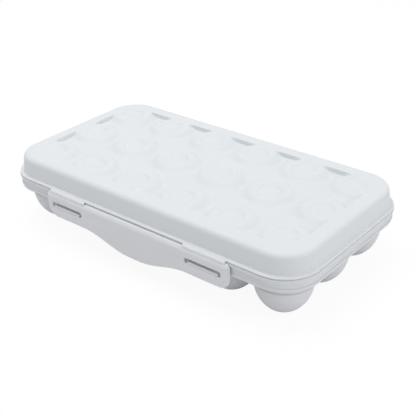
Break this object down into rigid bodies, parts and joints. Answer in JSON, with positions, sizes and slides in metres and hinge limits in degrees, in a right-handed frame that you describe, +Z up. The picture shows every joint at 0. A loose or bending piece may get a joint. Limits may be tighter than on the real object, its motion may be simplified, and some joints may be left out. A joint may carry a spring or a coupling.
{
  "type": "egg storage box",
  "caption": "Long rounded plastic box with egg cups below, a hinged lid embossed with round pads and a slotted latch flap with a finger grip.",
  "frame": {"origin": "on the surface that the egg cups stand on, below the middle of the whole box", "axes": "+X along the box, with the latch flap at the viewer's side and the viewer's right at +X; +Y towards the lid's hinge at the back; +Z up"},
  "size_m": [0.315, 0.178, 0.065],
  "materials": {
    "base_plastic": "pale cool grey moulded polypropylene, fine matt texture",
    "lid_plastic": "pale cool grey moulded polypropylene, satin",
    "flap_plastic": "pale cool grey moulded polypropylene, satin"
  },
  "bodies": {
    "base": {"base_rim": "base_plastic", "egg_cup_a1": "base_plastic", "egg_cup_a2": "base_plastic", "egg_cup_a3": "base_plastic", "egg_cup_a4": "base_plastic", "egg_cup_a5": "base_plastic", "egg_cup_a6": "base_plastic", "egg_cup_b1": "base_plastic", "egg_cup_b2": "base_plastic", "egg_cup_b3": "base_plastic", "egg_cup_b4": "base_plastic", "egg_cup_b5": "base_plastic", "egg_cup_b6": "base_plastic", "egg_cup_c1": "base_plastic", "egg_cup_c2": "base_plastic", "egg_cup_c3": "base_plastic", "egg_cup_c4": "base_plastic", "egg_cup_c5": "base_plastic", "egg_cup_c6": "base_plastic", "catch_left": "base_plastic", "catch_right": "base_plastic", "hinge_socket_left": "base_plastic", "hinge_socket_right": "base_plastic"},
    "lid": {"lid_shell": "lid_plastic", "lid_pad_a1": "lid_plastic", "lid_pad_a2": "lid_plastic", "lid_pad_a3": "lid_plastic", "lid_pad_a4": "lid_plastic", "lid_pad_a5": "lid_plastic", "lid_pad_a6": "lid_plastic", "lid_pad_b1": "lid_plastic", "lid_pad_b2": "lid_plastic", "lid_pad_b3": "lid_plastic", "lid_pad_b4": "lid_plastic", "lid_pad_b5": "lid_plastic", "lid_pad_b6": "lid_plastic", "lid_pad_c1": "lid_plastic", "lid_pad_c2": "lid_plastic", "lid_pad_c3": "lid_plastic", "lid_pad_c4": "lid_plastic", "lid_pad_c5": "lid_plastic", "lid_pad_c6": "lid_plastic", "lid_hinge_lug_left": "lid_plastic", "lid_hinge_lug_right": "lid_plastic", "flap_hinge_web_left": "flap_plastic", "flap_hinge_web_right": "flap_plastic"},
    "flap": {"latch_flap": "flap_plastic"}
  },
  "joints": [
    {"name": "lid_hinge", "type": "hinge", "parent": "base", "child": "lid", "pos_m": [0, 0.08628, 0.0465], "axis": [-1, 0, 0], "range_deg": [0, 110]},
    {"name": "flap_hinge", "type": "hinge", "parent": "lid", "child": "flap", "pos_m": [0, -0.08743, 0.0469], "axis": [-1, 0, 0], "range_deg": [0, 110]}
  ]
}
